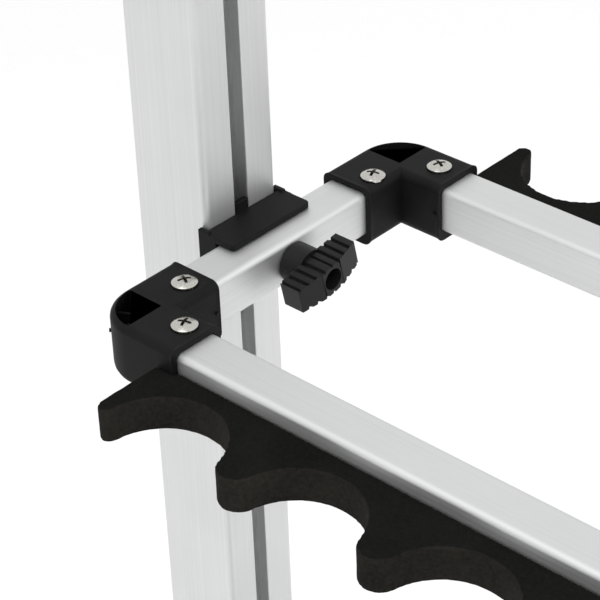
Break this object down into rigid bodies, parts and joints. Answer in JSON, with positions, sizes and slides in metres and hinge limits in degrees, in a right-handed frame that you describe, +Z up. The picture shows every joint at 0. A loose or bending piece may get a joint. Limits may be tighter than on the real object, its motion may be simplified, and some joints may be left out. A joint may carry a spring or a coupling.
{
  "type": "two-sided rod rack",
  "caption": "Free-standing two-sided rack: slotted aluminium posts carry a sliding upper ring frame with notched foam on both long sides and a lower ring frame with foam shelves.",
  "frame": {"origin": "on the floor below the middle of the rack", "axes": "+X along the rack's length, +Y across it towards the back, +Z up"},
  "size_m": [0.8148, 0.4256, 0.7453],
  "materials": {
    "aluminium": "satin anodised, with faint die lines along each length",
    "black_plastic": "moulded, fine matte grain",
    "knob_plastic": "moulded, smooth satin",
    "foam": "closed-cell foam, fine matte texture",
    "plated_steel": "bright nickel plate"
  },
  "bodies": {
    "stand": {"base_rail": "aluminium", "post_left": "aluminium", "post_cap_left": "black_plastic", "socket_left": "black_plastic", "foot_tube_left": "aluminium", "foot_cap_left_a": "black_plastic", "foot_cap_left_b": "black_plastic", "post_right": "aluminium", "post_cap_right": "black_plastic", "socket_right": "black_plastic", "foot_tube_right": "aluminium", "foot_cap_right_a": "black_plastic", "foot_cap_right_b": "black_plastic"},
    "upper_frame": {"upper_tube_front": "aluminium", "upper_tube_back": "aluminium", "upper_tube_left": "aluminium", "upper_tube_right": "aluminium", "upper_foam_front": "foam", "upper_foam_back": "foam", "upper_connector_left_front": "black_plastic", "upper_connector_right_front": "black_plastic", "upper_connector_right_back": "black_plastic", "upper_connector_left_back": "black_plastic", "upper_bracket_left": "black_plastic", "upper_bracket_right": "black_plastic", "upper_screw_left_front_a": "plated_steel", "upper_screw_left_front_b": "plated_steel", "upper_screw_right_front_a": "plated_steel", "upper_screw_right_front_b": "plated_steel", "upper_screw_right_back_a": "plated_steel", "upper_screw_right_back_b": "plated_steel", "upper_screw_left_back_a": "plated_steel", "upper_screw_left_back_b": "plated_steel"},
    "lower_frame": {"lower_tube_front": "aluminium", "lower_tube_back": "aluminium", "lower_tube_left": "aluminium", "lower_tube_right": "aluminium", "lower_foam_front": "foam", "lower_foam_back": "foam", "lower_connector_left_front": "black_plastic", "lower_connector_right_front": "black_plastic", "lower_connector_right_back": "black_plastic", "lower_connector_left_back": "black_plastic", "lower_bracket_left": "black_plastic", "lower_bracket_right": "black_plastic"},
    "upper_knob_left": {"upper_knob_left": "knob_plastic", "upper_bolt_left": "plated_steel"},
    "upper_nut_left": {"upper_nut_left": "plated_steel"},
    "upper_knob_right": {"upper_knob_right": "knob_plastic", "upper_bolt_right": "plated_steel"},
    "upper_nut_right": {"upper_nut_right": "plated_steel"},
    "lower_knob_left": {"lower_knob_left": "knob_plastic", "lower_bolt_left": "plated_steel"},
    "lower_nut_left": {"lower_nut_left": "plated_steel"},
    "lower_knob_right": {"lower_knob_right": "knob_plastic", "lower_bolt_right": "plated_steel"},
    "lower_nut_right": {"lower_nut_right": "plated_steel"}
  },
  "joints": [
    {"name": "upper_frame_slide", "type": "slide", "parent": "stand", "child": "upper_frame", "axis": [0, 0, 1], "range_m": [-0.2, 0.1]},
    {"name": "lower_frame_slide", "type": "slide", "parent": "stand", "child": "lower_frame", "axis": [0, 0, 1], "range_m": [-0.05, 0.1]},
    {"name": "upper_knob_left_turn", "type": "hinge", "parent": "upper_frame", "child": "upper_knob_left", "pos_m": [-0.33565, 0, 0.6075], "axis": [1, 0, 0], "range_deg": [0, 540]},
    {"name": "upper_nut_left_slide", "type": "slide", "parent": "upper_frame", "child": "upper_nut_left", "axis": [-1, 0, 0], "range_m": [0, 0.0015]},
    {"name": "upper_knob_right_turn", "type": "hinge", "parent": "upper_frame", "child": "upper_knob_right", "pos_m": [0.33565, 0, 0.6075], "axis": [-1, 0, 0], "range_deg": [0, 540]},
    {"name": "upper_nut_right_slide", "type": "slide", "parent": "upper_frame", "child": "upper_nut_right", "axis": [1, 0, 0], "range_m": [0, 0.0015]},
    {"name": "lower_knob_left_turn", "type": "hinge", "parent": "lower_frame", "child": "lower_knob_left", "pos_m": [-0.33565, 0, 0.1575], "axis": [1, 0, 0], "range_deg": [0, 540]},
    {"name": "lower_nut_left_slide", "type": "slide", "parent": "lower_frame", "child": "lower_nut_left", "axis": [-1, 0, 0], "range_m": [0, 0.0015]},
    {"name": "lower_knob_right_turn", "type": "hinge", "parent": "lower_frame", "child": "lower_knob_right", "pos_m": [0.33565, 0, 0.1575], "axis": [-1, 0, 0], "range_deg": [0, 540]},
    {"name": "lower_nut_right_slide", "type": "slide", "parent": "lower_frame", "child": "lower_nut_right", "axis": [1, 0, 0], "range_m": [0, 0.0015]}
  ],
  "couplings": [
    {"joint": "upper_knob_left_turn", "follows": "upper_nut_left_slide", "rad_per_m": 6283.2},
    {"joint": "upper_knob_right_turn", "follows": "upper_nut_right_slide", "rad_per_m": 6283.2},
    {"joint": "lower_knob_left_turn", "follows": "lower_nut_left_slide", "rad_per_m": 6283.2},
    {"joint": "lower_knob_right_turn", "follows": "lower_nut_right_slide", "rad_per_m": 6283.2}
  ]
}
